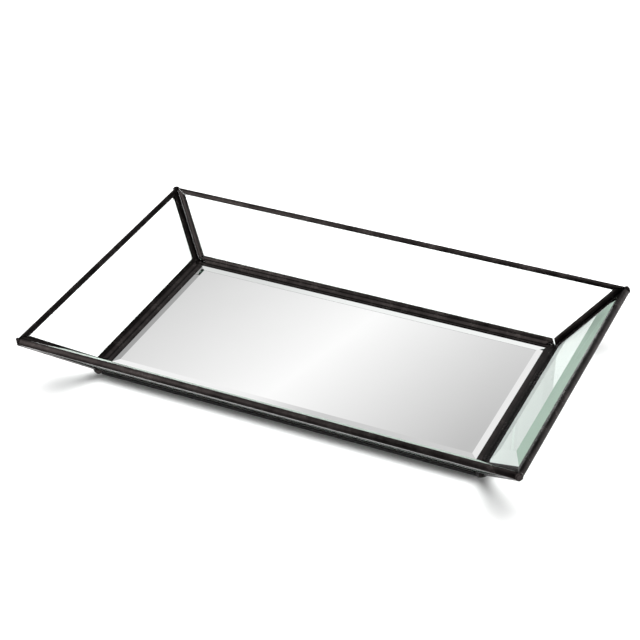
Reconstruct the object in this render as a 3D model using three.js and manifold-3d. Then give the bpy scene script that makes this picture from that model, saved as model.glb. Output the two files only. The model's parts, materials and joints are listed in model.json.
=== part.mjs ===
// A flared glass vanity tray. A bevelled mirror makes the floor and four bevelled clear glass
// panels lean outwards as the walls. Every edge is bound in folded metal came (a U channel), and
// solder joins the bound panels. Millimetres, +Z up, origin on the resting plane under the centre.

import * as THREE from 'three';
import { mergeVertices } from 'three/addons/utils/BufferGeometryUtils.js';
import { ConvexGeometry } from 'three/addons/geometries/ConvexGeometry.js';
import Module from 'manifold-3d';

const wasm = await Module();
wasm.setup();

// Driving dimensions.
const RIM_LENGTH = 330.4; // outside the rim came, along X
const RIM_WIDTH = 203.4; // outside the rim came, along Y
const WALL_SLOPE = THREE.MathUtils.degToRad(44); // wall angle above the floor
const WALL_RISE = 32.7; // base came top to the rim's highest edge

const CAME_THICKNESS = 4.5; // across both flanges, on the wall panels
const CAME_DEPTH = 3.75; // web and flange
const BASE_CAME_THICKNESS = 6.4; // the floor's came also holds a board
const BASE_CAME_DEPTH = { long: 3.4, short: 5.2 }; // on the floor's long and short sides
const CAME_METAL = 0.5;
const CAME_ROUND = 0.5; // outside radius where a flange folds into the web
const CAME_CROWN = 0.2; // how far each outer face bulges
const PANEL_GAP = 0.15; // came edge to the plane between two panels
const BOTTOM_GAP = 0.5; // wall came up the slope from the floor's corner line
const MITRE_GAP = 0.1; // came end to the mitre line, on either side
const SHORT_CUT = 0.9; // the same for the long walls' bottom came, cut a little short

const GLASS_INSET = 0.65; // glass edge inside the came's outer edge
const WALL_GLASS = 5.0;
const WALL_GLASS_EDGE = 2.5;
const WALL_GLASS_BACK = -3.7; // back face of the glass, from the came's inner face
const WALL_BEVEL = 12.7;

const MIRROR_THICKNESS = 3.6;
const MIRROR_RECESS = 0.2; // mirror's top below the top of its came
const MIRROR_EDGE = 2.9;
const MIRROR_BEVEL = 8.7;
const BOARD_THICKNESS = 2.0;

const FOOT_HEIGHT = 0.9;
const FOOT_RADIUS = 5.0;
const FOOT_ROUND = 0.4;
const FOOT_INSET = 13; // foot centre from the base came's outer edges
const FELT_THICKNESS = 2.0;
const FELT_INSET = 0.15;

const SOLDER_GAP = 0.12; // solder to the came beside it
const GROOVE_SOLDER_WALL = 3.5; // solder under a wall: its run along the wall's came
const GROOVE_SOLDER_BASE = 5.0; // and down the floor's came
const FILLET_SOLDER_WALL = 2.1; // solder inside the tray: its run up the wall's came
const FILLET_SOLDER_BASE = 1.9; // and over the floor's came
const SOLDER_HOLLOW = 0.25; // share of the way from a flat face back to the joint
const GROOVE_SOLDER_END = 3.4; // both stop short of the corners
const FILLET_SOLDER_END = 3.1;
const SEAM_SOLDER_CROWN = 1.5; // corner bead beyond the edges of the two cames
const SEAM_SOLDER_END = 1.0; // inside the lumps at its two ends
const RIM_LUMP = { out: 2.9, sink: 0.5, radii: [2.7, 2.5, 1.8] };
const RIM_CORNER_CUT = 3.6; // the rim's corners are filed off this far along each side
const BASE_LUMP = { out: 3.4, sink: 0, radii: [3.4, 5.5, 3.2] };
const BASE_LUMP_HALF = 3.3; // it is cut square at both ends, across the corner
const DROP_RADIUS = 1.7;
const DROP_HEIGHT = 0.45;
const DROP_INSET = 2.0;

const ROUND_STEPS = 6; // straight steps in each small arc
const ROUND_SIDES = 40; // straight sides of the feet and the solder drops

// Sizes that follow from those.
const COS = Math.cos(WALL_SLOPE);
const SIN = Math.sin(WALL_SLOPE);
const SLOPE_LENGTH = WALL_RISE / SIN;
const FLARE = WALL_RISE / Math.tan(WALL_SLOPE) + CAME_THICKNESS * SIN;
const FOLD_X = RIM_LENGTH / 2 - FLARE; // half the floor between the walls' inner faces
const FOLD_Y = RIM_WIDTH / 2 - FLARE;
const BASE_UNDERSIDE = FOOT_HEIGHT + FELT_THICKNESS;
const BASE_TOP = BASE_UNDERSIDE + BASE_CAME_THICKNESS;
const BASE_OVERHANG = 0.3; // base came beyond the floor's corner line
const BASE_X = FOLD_X + BASE_OVERHANG;
const BASE_Y = FOLD_Y + BASE_OVERHANG;
const SEAM_LENGTH = SLOPE_LENGTH * Math.sqrt(2 * COS * COS + SIN * SIN); // foot to rim, in a corner

// The walls: how each is turned from the front one, whether it is long or short, where it meets
// the floor, its half length there, and which walls it meets at its two sides.
const LONG_WALL = { size: 'long', fold: FOLD_Y, half: FOLD_X, bottomCut: SHORT_CUT };
const SHORT_WALL = { size: 'short', fold: FOLD_X, half: FOLD_Y, bottomCut: MITRE_GAP };
const WALLS = [
  { name: 'front', turn: 0, sides: ['left', 'right'], ...LONG_WALL },
  { name: 'right', turn: Math.PI / 2, sides: ['front', 'back'], ...SHORT_WALL },
  { name: 'back', turn: Math.PI, sides: ['right', 'left'], ...LONG_WALL },
  { name: 'left', turn: -Math.PI / 2, sides: ['back', 'front'], ...SHORT_WALL },
];

// The corners, each with the two walls that meet there.
const CORNERS = [
  { name: 'front_right', x: 1, y: -1, walls: [0, 1] },
  { name: 'back_right', x: 1, y: 1, walls: [1, 2] },
  { name: 'back_left', x: -1, y: 1, walls: [2, 3] },
  { name: 'front_left', x: -1, y: -1, walls: [3, 0] },
];

const bronze = { color: 0x3b3331, roughness: 0.42, metalness: 0.85 };
const solderGrey = { color: 0x46413f, roughness: 0.5, metalness: 0.85 };
const clearGlass = { color: 0xdfeee6, roughness: 0.03, metalness: 0, transparent: true, opacity: 0.35 };
const mirrorGlass = { color: 0xd9dcdc, roughness: 0.03, metalness: 1 };
const blackFelt = { color: 0x1b1a1a, roughness: 0.95, metalness: 0 };
const greyBoard = { color: 0x8c8478, roughness: 0.9, metalness: 0 };
const blackRubber = { color: 0x1f1f1f, roughness: 0.7, metalness: 0 };

const tray = new THREE.Group();
tray.name = 'dresser_vanity_tray';

function piece(name, geometry, look) {
  const mesh = new THREE.Mesh(geometry, new THREE.MeshStandardMaterial(look));
  mesh.name = name;
  return mesh;
}

// Booleans between closed geometries.
function toSolid(geometry) {
  const bare = geometry.index ? geometry.toNonIndexed() : geometry.clone();
  bare.deleteAttribute('normal');
  bare.deleteAttribute('uv');
  const merged = mergeVertices(bare, 1e-4);
  return new wasm.Manifold(new wasm.Mesh({
    numProp: 3,
    vertProperties: merged.attributes.position.array,
    triVerts: new Uint32Array(merged.index.array),
  }));
}

function toGeometry(solid) {
  const mesh = solid.getMesh();
  const geometry = new THREE.BufferGeometry();
  geometry.setAttribute('position', new THREE.BufferAttribute(mesh.vertProperties, 3));
  geometry.setIndex(new THREE.BufferAttribute(mesh.triVerts, 1));
  geometry.computeVertexNormals();
  return geometry;
}

// The four corners of a panel's flat outline, moved inwards. Each corner keeps the two sides'
// distances, which serves rectangles and the walls' trapezoids alike.
function insetOutline(corners, inset) {
  return corners.map((corner, i) => {
    const before = corners[(i + 3) % 4];
    const after = corners[(i + 1) % 4];
    const incoming = corner.clone().sub(before).normalize();
    const outgoing = after.clone().sub(corner).normalize();
    const halfTurn = incoming.angleTo(outgoing) / 2;
    const inwards = outgoing.clone().sub(incoming).normalize();
    return corner.clone().addScaledVector(inwards, inset / Math.cos(halfTurn));
  });
}

// Bevelled plate glass: square-edged at the back, sloping up to the flat middle at the front.
function bevelledGlass(corners, back, thickness, edge, bevel) {
  const rings = [[0, back], [0, back + edge], [bevel, back + thickness]];
  const points = rings.flatMap(([inset, z]) =>
    insetOutline(corners, GLASS_INSET + inset).map((p) => new THREE.Vector3(p.x, p.y, z)));
  return new ConvexGeometry(points);
}

// The came's U section, with gently bulging outer faces. X runs from the web's outer face into
// the panel, Y from the outer flange (-thickness) to the inner flange (0).
function cameSection(thickness, depth) {
  const bend = CAME_CROWN + CAME_ROUND;
  const top = -CAME_CROWN;
  const bottom = CAME_CROWN - thickness;
  const shape = new THREE.Shape();
  shape.moveTo(depth, top);
  shape.quadraticCurveTo((depth + bend) / 2, CAME_CROWN, bend, top);
  shape.absarc(bend, top - CAME_ROUND, CAME_ROUND, Math.PI / 2, Math.PI, false);
  shape.quadraticCurveTo(-CAME_CROWN, -thickness / 2, CAME_CROWN, bottom + CAME_ROUND);
  shape.absarc(bend, bottom + CAME_ROUND, CAME_ROUND, Math.PI, Math.PI * 1.5, false);
  shape.quadraticCurveTo((depth + bend) / 2, -thickness - CAME_CROWN, depth, bottom);
  shape.lineTo(depth, CAME_METAL - thickness);
  shape.lineTo(CAME_METAL, CAME_METAL - thickness);
  shape.lineTo(CAME_METAL, -CAME_METAL);
  shape.lineTo(depth, -CAME_METAL);
  shape.closePath();
  return shape;
}

// A strip along the side from corner a to corner b of an outline that runs anticlockwise. The
// section's X points into the outline and its Y along +Z. Both ends are mitred to the
// neighbouring sides, and stand back from the mitre planes by endGap.
function mitredStrip(corners, side, section, endGap) {
  const ends = [side, (side + 1) % 4];
  const [a, b] = ends.map((i) => corners[i]);
  const tangent = b.clone().sub(a).normalize();
  const length = a.distanceTo(b);
  const geometry = new THREE.ExtrudeGeometry(section, {
    depth: length, bevelEnabled: false, curveSegments: ROUND_STEPS,
  });
  const halfTurns = ends.map((i) => {
    const arriving = corners[i].clone().sub(corners[(i + 3) % 4]);
    const leaving = corners[(i + 1) % 4].clone().sub(corners[i]);
    return arriving.angleTo(leaving) / 2;
  });
  const position = geometry.attributes.position;
  for (let i = 0; i < position.count; i += 1) {
    const atFarEnd = position.getZ(i) > length / 2;
    const halfTurn = halfTurns[atFarEnd ? 1 : 0];
    const shift = position.getX(i) * Math.tan(halfTurn) + endGap / Math.cos(halfTurn);
    position.setZ(i, atFarEnd ? length - shift : shift);
  }
  const along = new THREE.Vector3(tangent.x, tangent.y, 0);
  const up = new THREE.Vector3(0, 0, 1);
  const placed = new THREE.Matrix4().makeBasis(up.clone().cross(along), up, along);
  placed.setPosition(a.x, a.y, 0);
  geometry.applyMatrix4(placed);
  return geometry;
}

// A wall panel's outline in its own plane: X along the wall, Y up the slope, Z out of the inner
// face. The X axis is the line where the inner face would meet the floor frame's top.
function wallOutline(wall, spare = 0) {
  const sideSetback = (PANEL_GAP - spare) * Math.hypot(1, COS);
  const low = BOTTOM_GAP - spare;
  const high = SLOPE_LENGTH + spare;
  const half = (upSlope) => wall.half + upSlope * COS - sideSetback;
  return [
    new THREE.Vector2(-half(low), low),
    new THREE.Vector2(half(low), low),
    new THREE.Vector2(half(high), high),
    new THREE.Vector2(-half(high), high),
  ];
}

// Carries a panel's own frame to the wall's place in the tray.
function wallFrame(wall) {
  const upSlope = new THREE.Vector3(0, -COS, SIN);
  const outOfInnerFace = new THREE.Vector3(0, SIN, COS);
  const alongWall = upSlope.clone().cross(outOfInnerFace);
  const lean = new THREE.Matrix4().makeBasis(alongWall, upSlope, outOfInnerFace);
  lean.setPosition(0, -wall.fold, BASE_TOP);
  return new THREE.Matrix4().makeRotationZ(wall.turn).multiply(lean);
}

// The upright prism the rim fits in, with its four corners cut off.
function rimPrism() {
  const [x, y] = [RIM_LENGTH / 2, RIM_WIDTH / 2];
  const corners = [[-1, -1], [1, -1], [1, 1], [-1, 1]].flatMap(([signX, signY]) => {
    const onLongSide = new THREE.Vector2(signX * (x - RIM_CORNER_CUT), signY * y);
    const onShortSide = new THREE.Vector2(signX * x, signY * (y - RIM_CORNER_CUT));
    return signX * signY > 0 ? [onShortSide, onLongSide] : [onLongSide, onShortSide];
  });
  const height = BASE_TOP + WALL_RISE;
  return new THREE.ExtrudeGeometry(new THREE.Shape(corners), { depth: height, bevelEnabled: false });
}

// One wall: a glass panel and the four lengths of came round it, filed off at the rim's corners.
function wallGroup(wall) {
  const toRim = toSolid(rimPrism().applyMatrix4(wallFrame(wall).invert()));
  const outline = wallOutline(wall);
  const glass = bevelledGlass(outline, WALL_GLASS_BACK, WALL_GLASS, WALL_GLASS_EDGE, WALL_BEVEL);
  const group = new THREE.Group();
  group.add(piece(`side_glass_${wall.name}`, glass, clearGlass));
  const cames = ['bottom_came', `seam_came_${wall.sides[0]}`, 'rim_came', `seam_came_${wall.sides[1]}`];
  cames.forEach((kind, side) => {
    const section = cameSection(CAME_THICKNESS, CAME_DEPTH);
    const strip = mitredStrip(outline, side, section, side === 0 ? wall.bottomCut : MITRE_GAP);
    const filed = toGeometry(toSolid(strip).intersect(toRim));
    group.add(piece(`${wall.name}_${kind}`, filed, bronze));
  });
  group.applyMatrix4(wallFrame(wall));
  return group;
}

// The space that a bound wall panel fills, and a little more, to keep solder clear of it.
function wallEnvelope(wall) {
  const points = wallOutline(wall, SOLDER_GAP).flatMap((p) => [
    new THREE.Vector3(p.x, p.y, SOLDER_GAP),
    new THREE.Vector3(p.x, p.y, -CAME_THICKNESS - SOLDER_GAP),
  ]);
  return toSolid(new ConvexGeometry(points).applyMatrix4(wallFrame(wall)));
}

function rectangle(halfX, halfY) {
  return [[-1, -1], [1, -1], [1, 1], [-1, 1]].map(([x, y]) => new THREE.Vector2(x * halfX, y * halfY));
}

// The floor: the mirror and the four lengths of came round it.
function floorGroup() {
  const outline = rectangle(BASE_X, BASE_Y);
  const back = -MIRROR_RECESS - MIRROR_THICKNESS;
  const mirror = bevelledGlass(outline, back, MIRROR_THICKNESS, MIRROR_EDGE, MIRROR_BEVEL);
  const group = new THREE.Group();
  group.add(piece('base_mirror', mirror, mirrorGlass));
  WALLS.forEach((wall, side) => {
    const section = cameSection(BASE_CAME_THICKNESS, BASE_CAME_DEPTH[wall.size]);
    const strip = mitredStrip(outline, side, section, MITRE_GAP);
    group.add(piece(`base_came_${wall.name}`, strip, bronze));
  });
  group.position.z = BASE_TOP;
  return group;
}

// A flat rectangular sheet, set in from the floor's outer edges.
function sheet(name, inset, top, thickness, look) {
  const box = new THREE.BoxGeometry(2 * (BASE_X - inset), 2 * (BASE_Y - inset), thickness);
  const mesh = piece(name, box, look);
  mesh.position.z = top - thickness / 2;
  return mesh;
}

// A moulded bumper foot: a low round button, stuck to the felt by its wide flat top.
function footGeometry() {
  const profile = new THREE.Path();
  profile.moveTo(0, 0);
  profile.lineTo(FOOT_RADIUS - FOOT_ROUND, 0);
  profile.absarc(FOOT_RADIUS - FOOT_ROUND, FOOT_ROUND, FOOT_ROUND, -Math.PI / 2, 0, false);
  profile.lineTo(FOOT_RADIUS, FOOT_HEIGHT);
  profile.lineTo(0, FOOT_HEIGHT);
  return new THREE.LatheGeometry(profile.getPoints(ROUND_STEPS), ROUND_SIDES).rotateX(Math.PI / 2);
}

// Board, felt and feet under the mirror.
function undersideGroup() {
  const group = new THREE.Group();
  const mirrorBack = BASE_TOP - MIRROR_RECESS - MIRROR_THICKNESS;
  group.add(sheet('backing_board', GLASS_INSET, mirrorBack, BOARD_THICKNESS, greyBoard));
  group.add(sheet('felt_cover', FELT_INSET, BASE_UNDERSIDE, FELT_THICKNESS, blackFelt));
  CORNERS.forEach((corner) => {
    const foot = piece(`bumper_foot_${corner.name}`, footGeometry(), blackRubber);
    foot.position.set(corner.x * (BASE_X - FOOT_INSET), corner.y * (BASE_Y - FOOT_INSET), 0);
    group.add(foot);
  });
  return group;
}

// A triangle of solder with one hollow face, in the angle at the joint between two cames.
function filletSection(joint, first, second) {
  const hollow = first.clone().lerp(second, 0.5).lerp(joint, SOLDER_HOLLOW);
  const section = new THREE.Shape();
  section.moveTo(joint.x, joint.y);
  section.lineTo(first.x, first.y);
  section.quadraticCurveTo(hollow.x, hollow.y, second.x, second.y);
  section.closePath();
  return section;
}

// Solder run into the groove under a wall, between its bottom came and the floor's came. The
// section's X is the distance inwards from the corner line and its Y the height above it.
function grooveSolder(side) {
  const faceX = -BASE_OVERHANG - SOLDER_GAP;
  const onWall = (run) => new THREE.Vector2(
    (SOLDER_GAP - BOTTOM_GAP) * COS - run * SIN,
    BOTTOM_GAP * SIN - run * COS - SOLDER_GAP * SIN,
  );
  const joint = onWall((onWall(0).x - faceX) / SIN);
  const section = filletSection(
    joint, onWall(GROOVE_SOLDER_WALL), new THREE.Vector2(faceX, -GROOVE_SOLDER_BASE),
  );
  return mitredStrip(rectangle(FOLD_X, FOLD_Y), side, section, GROOVE_SOLDER_END);
}

// Solder along the inside of the same joint, over the two cames' inner flanges.
function insideSolder(side) {
  const onWall = (run) => new THREE.Vector2(-run * COS + SOLDER_GAP * SIN, run * SIN + SOLDER_GAP * COS);
  const joint = onWall(SOLDER_GAP * (1 - COS) / SIN);
  const section = filletSection(
    joint, new THREE.Vector2(FILLET_SOLDER_BASE, SOLDER_GAP), onWall(FILLET_SOLDER_WALL),
  );
  return mitredStrip(rectangle(FOLD_X, FOLD_Y), side, section, FILLET_SOLDER_END);
}

// A corner's own directions: up the line where two walls meet, straight out of the tray between
// them, and across. The point is the foot of that line.
function cornerFrame(corner) {
  const alongSeam = new THREE.Vector3(corner.x * COS, corner.y * COS, SIN).normalize();
  const outwards = new THREE.Vector3(corner.x * SIN, corner.y * SIN, -2 * COS).normalize();
  const across = alongSeam.clone().cross(outwards);
  const foot = new THREE.Vector3(corner.x * FOLD_X, corner.y * FOLD_Y, BASE_TOP);
  return new THREE.Matrix4().makeBasis(outwards, across, alongSeam).setPosition(foot);
}

// A bead that fills the groove two walls leave outside their shared corner, and rounds it off.
function seamBead() {
  const halfAngle = Math.acos(COS * COS) / 2;
  const apex = PANEL_GAP + SOLDER_GAP / Math.sin(halfAngle);
  const depth = CAME_THICKNESS * Math.cos(halfAngle);
  const halfWidth = (depth - apex) * Math.tan(halfAngle);
  const section = new THREE.Shape();
  section.moveTo(apex, 0);
  section.lineTo(depth, -halfWidth);
  section.quadraticCurveTo(depth + 2 * SEAM_SOLDER_CROWN, 0, depth, halfWidth);
  section.closePath();
  const bead = new THREE.ExtrudeGeometry(section, {
    depth: SEAM_LENGTH - 2 * SEAM_SOLDER_END, bevelEnabled: false, curveSegments: 2 * ROUND_STEPS,
  });
  return bead.translate(0, 0, SEAM_SOLDER_END);
}

function lump({ out, sink, radii }, height) {
  return new THREE.SphereGeometry(1, 28, 18).scale(...radii).translate(out, 0, height - sink);
}

// The solder on one outside corner: a bead up the seam that ends in a lump filed flush with the
// rim and another lump at the floor, kept clear of the walls and the floor's frame.
function seamSolder(corner) {
  const pastLump = 2 * (BASE_LUMP.out + Math.max(...BASE_LUMP.radii));
  const ends = toSolid(new THREE.BoxGeometry(pastLump, 2 * BASE_LUMP_HALF, pastLump));
  const shapes = [
    toSolid(seamBead()), toSolid(lump(RIM_LUMP, SEAM_LENGTH)), toSolid(lump(BASE_LUMP, 0)).intersect(ends),
  ];
  const placed = shapes.map((shape) => shape.transform(cornerFrame(corner).elements));
  const floorBlock = new THREE.BoxGeometry(
    2 * (BASE_X + SOLDER_GAP), 2 * (BASE_Y + SOLDER_GAP), BASE_CAME_THICKNESS + 2 * SOLDER_GAP,
  ).translate(0, 0, BASE_TOP - BASE_CAME_THICKNESS / 2);
  const keepOut = [toSolid(floorBlock), ...corner.walls.map((index) => wallEnvelope(WALLS[index]))];
  const joined = placed.reduce((solid, other) => solid.add(other)).intersect(toSolid(rimPrism()));
  return toGeometry(keepOut.reduce((solid, other) => solid.subtract(other), joined));
}

// A flat drop of solder over the mitre of the floor's came, inside the tray.
function floorDrop() {
  const profile = new THREE.Path();
  profile.moveTo(0, 0);
  profile.lineTo(DROP_RADIUS, 0);
  profile.quadraticCurveTo(DROP_RADIUS / 2, DROP_HEIGHT, 0, DROP_HEIGHT);
  return new THREE.LatheGeometry(profile.getPoints(ROUND_STEPS), ROUND_SIDES).rotateX(Math.PI / 2);
}

function floorSolder(corner) {
  const drop = piece(`floor_solder_${corner.name}`, floorDrop(), solderGrey);
  drop.position.set(corner.x * (BASE_X - DROP_INSET), corner.y * (BASE_Y - DROP_INSET), BASE_TOP);
  return drop;
}

tray.add(undersideGroup(), floorGroup());
WALLS.forEach((wall, side) => {
  tray.add(wallGroup(wall));
  const along = { groove_solder: grooveSolder(side), inside_solder: insideSolder(side) };
  Object.entries(along).forEach(([kind, geometry]) => {
    tray.add(piece(`${kind}_${wall.name}`, geometry.translate(0, 0, BASE_TOP), solderGrey));
  });
});
CORNERS.forEach((corner) => {
  tray.add(piece(`seam_solder_${corner.name}`, seamSolder(corner), solderGrey), floorSolder(corner));
});

export default tray;
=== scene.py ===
"""A flared glass vanity tray: looks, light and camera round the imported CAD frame."""

import json
import math

import bpy
from mathutils import Matrix, Vector


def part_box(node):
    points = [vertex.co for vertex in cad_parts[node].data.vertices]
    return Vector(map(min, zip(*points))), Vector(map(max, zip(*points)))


MM = 0.001

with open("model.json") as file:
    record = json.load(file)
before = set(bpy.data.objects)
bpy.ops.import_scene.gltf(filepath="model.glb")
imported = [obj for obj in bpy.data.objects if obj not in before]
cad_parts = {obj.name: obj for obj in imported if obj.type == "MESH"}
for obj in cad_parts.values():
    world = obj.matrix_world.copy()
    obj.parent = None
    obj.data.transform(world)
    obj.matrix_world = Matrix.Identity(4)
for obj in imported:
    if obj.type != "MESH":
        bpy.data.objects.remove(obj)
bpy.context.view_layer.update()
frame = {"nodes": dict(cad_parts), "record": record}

# Camera: angles in degrees, distance in metres, aimed at the top of the floor's came.
CAMERA_AZIMUTH = 26.35
CAMERA_ELEVATION = 35.95
CAMERA_ROLL = -2.0
CAMERA_DISTANCE = 1.0686
CAMERA_LENS = 95.08
CAMERA_SHIFT = (-0.0122, 0.0536)

# The room's light, as strengths of white.
LAMP_FROM = (0.0, 0.03, 1.0)  # towards the big soft lamp above the tray
LAMP_INNER = 8  # degrees from there to where it starts to fade
LAMP_OUTER = 38  # and to its edge
LAMP = 6.9
AROUND_LAMP = 0.5
BACKDROP = 1.5
BEHIND_GLASS = 0.85  # what the walls' bevels bend into view

# What shiny faces reflect: direction, degrees from it to where the patch starts to fade and to
# its edge, strength.
REFLECTED_ROOM = 0.75
REFLECTED_PATCHES = (
    ((0, 0, 1), 20, 40, 1.3),  # overhead panel
    ((0.60, 0.78, 0.15), 12, 30, 1.5),  # backdrop, low at the back right
    ((-0.08, -0.71, 0.70), 14, 30, 0.04),  # unlit side, round the camera
    ((-0.62, -0.50, 0.60), 9, 22, 3.6),  # lamp at the front left
    ((0.52, 0.66, 0.54), 8, 20, 0.12),  # gap above the backdrop
    ((-0.72, 0.68, 0.13), 10, 24, 0.15),  # dark corner, low at the back left
)
# The mirror faces a big panel, brightest along a slanting line through its centre.
PANEL = (-0.3594, 0.7256, 0.5868)
PANEL_INNER = 16
PANEL_OUTER = 28
PANEL_ACROSS = (0.7183, -0.1847, 0.6707)  # square to that line
PANEL_PEAK = 1.07
PANEL_LOW_SIDE = (-0.112, 0.60)  # how far along PANEL_ACROSS, and the strength there
PANEL_HIGH_SIDE = (0.093, 0.58)
# Smaller patches round the panel, which the mirror's bevels pick up.
PANEL_SIDES = (
    ((0.0, 0.76, 0.65), 6, 16, 0.95),  # right
    ((-0.533, 0.694, 0.485), 4, 6.5, 0.40),  # left
    ((-0.45, 0.56, 0.70), 3, 7, 0.98),  # above, for the front bevel
    ((-0.28, 0.62, 0.73), 3, 7, 0.68),
    ((-0.41, 0.80, 0.43), 3, 8, 0.80),  # below, for the back one
    ((-0.28, 0.85, 0.45), 3, 8, 1.02),
)

FLOOR_SIZE = 8.0

# Colours are linear red, green and blue.
# Each patina has its dark clouds, its light ones and its rubbed spots.
CAME_COLOURS = ((0.012, 0.010, 0.0097), (0.034, 0.0285, 0.0275), (0.10, 0.088, 0.082))
SOLDER_COLOURS = ((0.012, 0.010, 0.0097), (0.038, 0.032, 0.031), (0.11, 0.097, 0.090))
# Painted shade: the patinas turn to this near black along their sharp edges.
EDGE_SHADE_BLACK = (0.002, 0.0016, 0.0015)
# Each glass has its tint seen square on, then its tint at a slant, darkened there with painted
# shade.
CLEAR_TINTS_AND_SHADE = ((0.965, 0.985, 0.975), (0.62, 0.66, 0.64))
# The rim bevel's slanting colour holds the most painted shade, for the darker things it bends into
# view.
RIM_BEVEL_TINTS_AND_SHADE = ((0.960, 0.985, 0.972), (0.34, 0.43, 0.37))
THIN_PANE_TINT = (0.98, 0.99, 0.985)
GLASS_IOR = 1.52

# How far from a sharp edge the painted shade reaches.
EDGE_SHADE_WIDTH = 0.8 * MM
CAME_EDGE_ROUND = 0.12 * MM
SQUARE = 0.05  # faces are square to each other if the cosine between their normals is below this
RIM_BEVEL_RISE = 0.8  # only the bevel along a wall's top has a normal that points up this much


class Shader:
    """The nodes of one material, added by short calls."""

    def __init__(self, tree):
        tree.nodes.clear()
        self.tree = tree

    def node(self, kind, **settings):
        node = self.tree.nodes.new(kind)
        for name, value in settings.items():
            setattr(node, name, value)
        return node

    def link(self, source, target):
        if isinstance(source, bpy.types.NodeSocket):
            self.tree.links.new(source, target)
        else:
            target.default_value = source

    def position(self):
        return self.node("ShaderNodeTexCoord").outputs["Object"]

    def stretched(self, vector, scale):
        mapping = self.node("ShaderNodeMapping")
        self.link(vector, mapping.inputs["Vector"])
        mapping.inputs["Scale"].default_value = scale
        return mapping.outputs["Vector"]

    def noise(self, vector, size, detail=3.0, roughness=0.55):
        """Noise from 0 to 1 whose features are about size metres wide."""
        noise = self.node("ShaderNodeTexNoise")
        self.link(vector, noise.inputs["Vector"])
        noise.inputs["Scale"].default_value = 1 / size
        noise.inputs["Detail"].default_value = detail
        noise.inputs["Roughness"].default_value = roughness
        return noise.outputs["Fac"]

    def span(self, value, low, high, to_low=0.0, to_high=1.0, smooth=False):
        """Maps low..high to to_low..to_high, clamped."""
        span = self.node("ShaderNodeMapRange")
        span.interpolation_type = "SMOOTHSTEP" if smooth else "LINEAR"
        for name, number in zip(
            ("Value", "From Min", "From Max", "To Min", "To Max"),
            (value, low, high, to_low, to_high),
        ):
            self.link(number, span.inputs[name])
        return span.outputs["Result"]

    def math(self, operation, *values):
        node = self.node("ShaderNodeMath", operation=operation)
        for value, socket in zip(values, node.inputs):
            self.link(value, socket)
        return node.outputs["Value"]

    def dot(self, vector, other):
        node = self.node("ShaderNodeVectorMath", operation="DOT_PRODUCT")
        self.link(vector, node.inputs[0])
        self.link(other, node.inputs[1])
        return node.outputs["Value"]

    def normal(self):
        return self.node("ShaderNodeNewGeometry").outputs["Normal"]

    def blend(self, share, first, second):
        """A colour between first and second."""
        mix = self.node("ShaderNodeMix", data_type="RGBA")
        self.link(share, mix.inputs[0])
        self.link(first, mix.inputs[6])
        self.link(second, mix.inputs[7])
        return mix.outputs[2]

    def bump(self, height, depth, strength=1.0, normal=None):
        bump = self.node("ShaderNodeBump")
        bump.inputs["Strength"].default_value = strength
        bump.inputs["Distance"].default_value = depth
        self.link(height, bump.inputs["Height"])
        if normal is not None:
            self.link(normal, bump.inputs["Normal"])
        return bump.outputs["Normal"]

    def principled(self, **inputs):
        bsdf = self.node("ShaderNodeBsdfPrincipled")
        for name, value in inputs.items():
            self.link(value, bsdf.inputs[name.replace("_", " ")])
        return bsdf.outputs["BSDF"]

    def mix_shaders(self, share, first, second):
        mix = self.node("ShaderNodeMixShader")
        for source, socket in zip((share, first, second), mix.inputs):
            self.link(source, socket)
        return mix.outputs["Shader"]

    def output(self, surface):
        out = self.node("ShaderNodeOutputMaterial")
        self.link(surface, out.inputs["Surface"])


def new_material(name):
    material = bpy.data.materials.new(name)
    material.use_nodes = True
    return material, Shader(material.node_tree)


def rgb(red, green, blue):
    return (red, green, blue, 1.0)


def near_edges(shader, width):
    """0 on flat faces, rising to 1 within width of a sharp edge."""
    bevel = shader.node("ShaderNodeBevel", samples=6)
    bevel.inputs["Radius"].default_value = width
    agreement = shader.dot(bevel.outputs["Normal"], shader.normal())
    return shader.span(agreement, 0.998, 0.90)


def patina(name, colours, base_roughness):
    """Dark bronze patina on soft metal: cloudy, rubbed in spots, and near black along its edges
    with painted shade.
    """
    dark, light, rubbed = (rgb(*colour) for colour in colours)
    material, shader = new_material(name)
    place = shader.position()
    clouds = shader.noise(place, 9 * MM, 4.0)
    mottling = shader.noise(place, 1.6 * MM, 5.0, 0.62)
    grain = shader.noise(place, 0.28 * MM, 2.0)
    tone = shader.math("MULTIPLY_ADD", mottling, 0.25, shader.math("MULTIPLY", clouds, 0.75))
    colour = shader.blend(shader.span(tone, 0.3, 0.7), dark, light)
    # Painted shade, near black, along the sharp edges.
    edge_shade = shader.math("MULTIPLY", near_edges(shader, EDGE_SHADE_WIDTH), 0.9)
    colour = shader.blend(edge_shade, colour, rgb(*EDGE_SHADE_BLACK))
    spots = shader.span(shader.math("MULTIPLY", mottling, clouds), 0.30, 0.42)
    colour = shader.blend(shader.math("MULTIPLY", spots, 0.2), colour, rubbed)

    roughness = shader.span(clouds, 0.3, 0.7, base_roughness - 0.07, base_roughness + 0.09)
    waves = shader.bump(clouds, 0.35 * MM, 0.5)
    pits = shader.bump(mottling, 0.04 * MM, 0.4, waves)
    fine = shader.bump(grain, 0.012 * MM, 0.5, pits)
    shader.output(
        shader.principled(Base_Color=colour, Metallic=0.95, Roughness=roughness, Normal=fine)
    )
    return material


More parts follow.
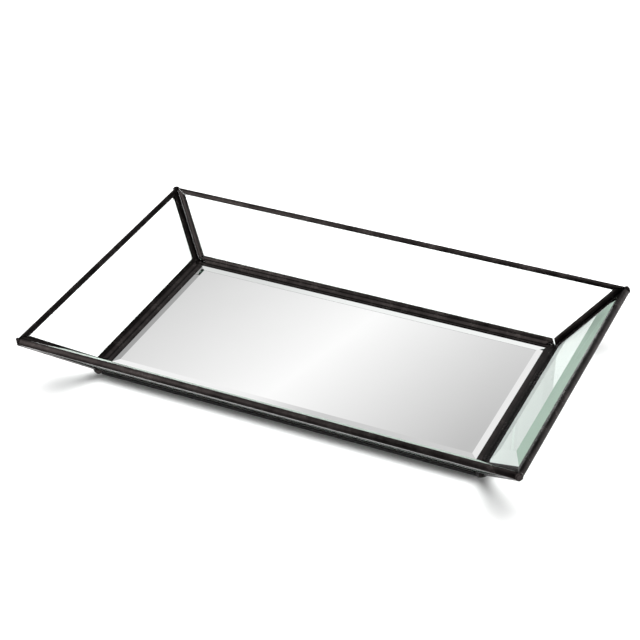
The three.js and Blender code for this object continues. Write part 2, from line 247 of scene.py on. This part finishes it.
def plate_glass(name, tints_and_shade):
    """Polished plate glass, greener at a slant and darkened there with painted shade, until it is
    seen almost edge on. To lamps and in reflections it is a thin clear pane."""
    square_on, slanting_shaded = (rgb(*tint) for tint in tints_and_shade)
    material, shader = new_material(name)
    smears = shader.noise(shader.position(), 60 * MM, 1.0)
    facing = shader.node("ShaderNodeLayerWeight").outputs["Facing"]
    # Painted shade: at a slant the glass's colour darkens as well as turning greener.
    off_square = shader.span(facing, 0.40, 0.58)
    off_edge = shader.span(facing, 0.92, 0.85)
    slant_shade = shader.math("MINIMUM", off_square, off_edge)
    glass = shader.node("ShaderNodeBsdfGlass")
    glass.inputs["IOR"].default_value = GLASS_IOR
    shader.link(shader.blend(slant_shade, square_on, slanting_shaded), glass.inputs["Color"])
    shader.link(shader.span(smears, 0.4, 0.7, 0.0, 0.004), glass.inputs["Roughness"])
    clear = shader.node("ShaderNodeBsdfTransparent")
    clear.inputs["Color"].default_value = rgb(*THIN_PANE_TINT)
    ray = shader.node("ShaderNodeLightPath").outputs
    surface = glass.outputs["BSDF"]
    for kind in ("Is Glossy Ray", "Is Diffuse Ray", "Is Shadow Ray"):
        surface = shader.mix_shaders(ray[kind], surface, clear.outputs["BSDF"])
    shader.output(surface)
    return material


def ground_edge():
    """The unpolished edge of the plate, hidden in the came: frosted, sea green."""
    material, shader = new_material("ground_edge")
    grit = shader.noise(shader.position(), 0.15 * MM, 3.0)
    shader.output(
        shader.principled(
            Base_Color=shader.blend(grit, rgb(0.50, 0.72, 0.60), rgb(0.66, 0.84, 0.74)),
            Roughness=0.7,
            Normal=shader.bump(grit, 0.03 * MM, 0.5),
        )
    )
    return material


def mirror_glass():
    """Silvered glass: a clean mirror on top, the grey protective paint on its back."""
    material, shader = new_material("mirror_glass")
    place = shader.position()
    haze = shader.noise(place, 30 * MM, 4.0)
    silver = shader.blend(haze, rgb(0.905, 0.907, 0.905), rgb(0.925, 0.926, 0.924))
    polish = shader.span(haze, 0.3, 0.8, 0.008, 0.03)
    downwards = shader.dot(shader.normal(), (0, 0, -1))
    back = shader.span(downwards, 0.5, 0.6)
    flecks = shader.noise(place, 0.8 * MM, 4.0)
    paint = shader.blend(flecks, rgb(0.12, 0.13, 0.14), rgb(0.19, 0.20, 0.21))
    shader.output(
        shader.principled(
            Base_Color=shader.blend(back, silver, paint),
            Metallic=shader.span(back, 0, 1, 1.0, 0.0),
            Roughness=shader.math("MAXIMUM", shader.math("MULTIPLY", back, 0.6), polish),
        )
    )
    return material


def felt():
    """Short matted black wool felt."""
    material, shader = new_material("felt")
    place = shader.position()
    fibres = shader.noise(shader.stretched(place, (1.0, 2.6, 1.0)), 0.5 * MM, 5.0, 0.7)
    clumps = shader.noise(place, 3 * MM, 3.0)
    tone = shader.math("MULTIPLY_ADD", fibres, 0.6, shader.math("MULTIPLY", clumps, 0.4))
    shade = shader.span(tone, 0.35, 0.7)
    shader.output(
        shader.principled(
            Base_Color=shader.blend(shade, rgb(0.003, 0.003, 0.0035), rgb(0.014, 0.0135, 0.0135)),
            Roughness=0.95,
            Sheen_Weight=0.08,
            Sheen_Roughness=0.6,
            Normal=shader.bump(fibres, 0.25 * MM, 0.8),
        )
    )
    return material


def card():
    """Grey chipboard with paper fibres."""
    material, shader = new_material("card")
    place = shader.position()
    fibres = shader.noise(shader.stretched(place, (1.0, 3.0, 1.0)), 0.9 * MM, 5.0, 0.7)
    shade = shader.span(fibres, 0.3, 0.7)
    shader.output(
        shader.principled(
            Base_Color=shader.blend(shade, rgb(0.19, 0.165, 0.135), rgb(0.34, 0.305, 0.26)),
            Roughness=0.9,
            Normal=shader.bump(fibres, 0.08 * MM, 0.6),
        )
    )
    return material


def rubber():
    """Matte moulded black rubber with a fine moulding texture."""
    material, shader = new_material("rubber")
    place = shader.position()
    bloom = shader.noise(place, 2.5 * MM, 3.0)
    grain = shader.noise(place, 0.16 * MM, 2.0)
    shade = shader.span(bloom, 0.4, 0.75)
    shader.output(
        shader.principled(
            Base_Color=shader.blend(shade, rgb(0.012, 0.012, 0.012), rgb(0.03, 0.029, 0.028)),
            Roughness=shader.span(bloom, 0.3, 0.7, 0.55, 0.72),
            Normal=shader.bump(grain, 0.03 * MM, 0.6),
        )
    )
    return material


def floor_white():
    """Matte white paper, very slightly uneven."""
    material, shader = new_material("floor_white")
    tone = shader.noise(shader.position(), 0.4, 2.0)
    shader.output(
        shader.principled(
            Base_Color=shader.blend(tone, rgb(0.93, 0.93, 0.93), rgb(0.945, 0.945, 0.945)),
            Roughness=0.9,
            Specular_IOR_Level=0.1,
        )
    )
    return material


def dress(node, material):
    """Gives a CAD node its material."""
    mesh = node.data
    mesh.materials.clear()
    mesh.materials.append(material)


def dress_glass(node, glass, rim_bevel, side):
    """Gives the bevel along a plate's top, and its narrow ground sides, materials of their own."""
    dress(node, glass)
    mesh = node.data
    mesh.materials.append(rim_bevel)
    mesh.materials.append(side)
    rim_bevel_slot, side_slot = 1, 2
    flat = max(mesh.polygons, key=lambda face: face.area).normal.copy()
    for face in mesh.polygons:
        if abs(face.normal.dot(flat)) < SQUARE:
            face.material_index = side_slot
        elif face.normal.z > RIM_BEVEL_RISE:
            face.material_index = rim_bevel_slot


def soften_edges(node, width):
    """Rounds off a node's sharp edges."""
    bevel = node.modifiers.new("soft_edges", "BEVEL")
    bevel.width = width
    bevel.segments = 2
    bevel.limit_method = "ANGLE"
    bevel.angle_limit = math.radians(35)


def dress_tray():
    """Gives every CAD node the look of its material slot."""
    looks = {
        "came": patina("came_patina", CAME_COLOURS, base_roughness=0.21),
        "solder": patina("solder_patina", SOLDER_COLOURS, base_roughness=0.22),
        "mirror": mirror_glass(),
        "felt": felt(),
        "board": card(),
        "rubber": rubber(),
    }
    glass_looks = (
        plate_glass("clear_glass", CLEAR_TINTS_AND_SHADE),
        plate_glass("rim_bevel", RIM_BEVEL_TINTS_AND_SHADE),
        ground_edge(),
    )
    for part in frame["record"]["subparts"]:
        node = frame["nodes"][part["node"]]
        slot = part["material_slot"]
        if slot == "clear_glass":
            dress_glass(node, *glass_looks)
        else:
            dress(node, looks[slot])
        if slot == "came":
            soften_edges(node, CAME_EDGE_ROUND)


def make_floor():
    bpy.ops.mesh.primitive_plane_add(size=FLOOR_SIZE)
    floor = bpy.context.object
    floor.name = "studio_floor"
    floor.data.materials.append(floor_white())


def patch(shader, direction, centre, inner, outer):
    """1 within inner degrees of a direction, fading to 0 at outer degrees."""
    towards = shader.dot(direction, Vector(centre).normalized())
    edge, full = (math.cos(math.radians(angle)) for angle in (outer, inner))
    return shader.span(towards, edge, full, smooth=True)


def reflected_room(shader, direction):
    """Lamps, a backdrop, unlit gaps, and the panel that fills the mirror."""
    across = shader.dot(direction, PANEL_ACROSS)
    low, low_light = PANEL_LOW_SIDE
    high, high_light = PANEL_HIGH_SIDE
    panel = shader.math(
        "MINIMUM",
        shader.span(across, low, 0, low_light, PANEL_PEAK),
        shader.span(across, 0, high, PANEL_PEAK, high_light),
    )
    panel_patch = (PANEL, PANEL_INNER, PANEL_OUTER, panel)
    level = REFLECTED_ROOM
    for centre, inner, outer, light in (*REFLECTED_PATCHES, panel_patch, *PANEL_SIDES):
        level = shader.span(patch(shader, direction, centre, inner, outer), 0, 1, level, light)
    return level


def make_room():
    """A bright white studio. Its lamps and its gaps show only in reflections."""
    world = bpy.data.worlds.new("studio")
    bpy.context.scene.world = world
    world.use_nodes = True
    shader = Shader(world.node_tree)
    direction = shader.node("ShaderNodeTexCoord").outputs["Generated"]
    ray = shader.node("ShaderNodeLightPath").outputs
    lamp = patch(shader, direction, LAMP_FROM, LAMP_INNER, LAMP_OUTER)
    strength = shader.span(lamp, 0, 1, AROUND_LAMP, LAMP)
    for kind, level in (
        ("Is Glossy Ray", reflected_room(shader, direction)),
        ("Is Transmission Ray", BEHIND_GLASS),
        ("Is Camera Ray", BACKDROP),
    ):
        strength = shader.span(ray[kind], 0, 1, strength, level)
    background = shader.node("ShaderNodeBackground")
    background.inputs["Color"].default_value = rgb(1, 1, 1)
    shader.link(strength, background.inputs["Strength"])
    out = shader.node("ShaderNodeOutputWorld")
    shader.link(background.outputs["Background"], out.inputs["Surface"])


def make_camera():
    """Looks at the middle of the tray, turned a little about its own axis."""
    azimuth = math.radians(CAMERA_AZIMUTH)
    elevation = math.radians(CAMERA_ELEVATION)
    back = Vector((
        math.sin(azimuth) * math.cos(elevation),
        -math.cos(azimuth) * math.cos(elevation),
        math.sin(elevation),
    ))
    right = Vector((math.cos(azimuth), math.sin(azimuth), 0))
    turn = Matrix((right, back.cross(right), back)).transposed()
    turn = turn @ Matrix.Rotation(math.radians(CAMERA_ROLL), 3, "Z")
    target = Vector((0, 0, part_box("base_came_front")[1].z))
    data = bpy.data.cameras.new("camera")
    data.lens = CAMERA_LENS
    data.shift_x, data.shift_y = CAMERA_SHIFT
    camera = bpy.data.objects.new("camera", data)
    camera.matrix_world = Matrix.Translation(target + back * CAMERA_DISTANCE) @ turn.to_4x4()
    bpy.context.scene.collection.objects.link(camera)
    bpy.context.scene.camera = camera


def deepen_light_paths():
    """Lets light cross several plates and the mirror."""
    cycles = bpy.context.scene.cycles
    cycles.max_bounces = 32
    cycles.glossy_bounces = 28
    cycles.transmission_bounces = 28


dress_tray()
make_floor()
make_room()
make_camera()
bpy.context.scene.view_settings.view_transform = "Standard"
deepen_light_paths()
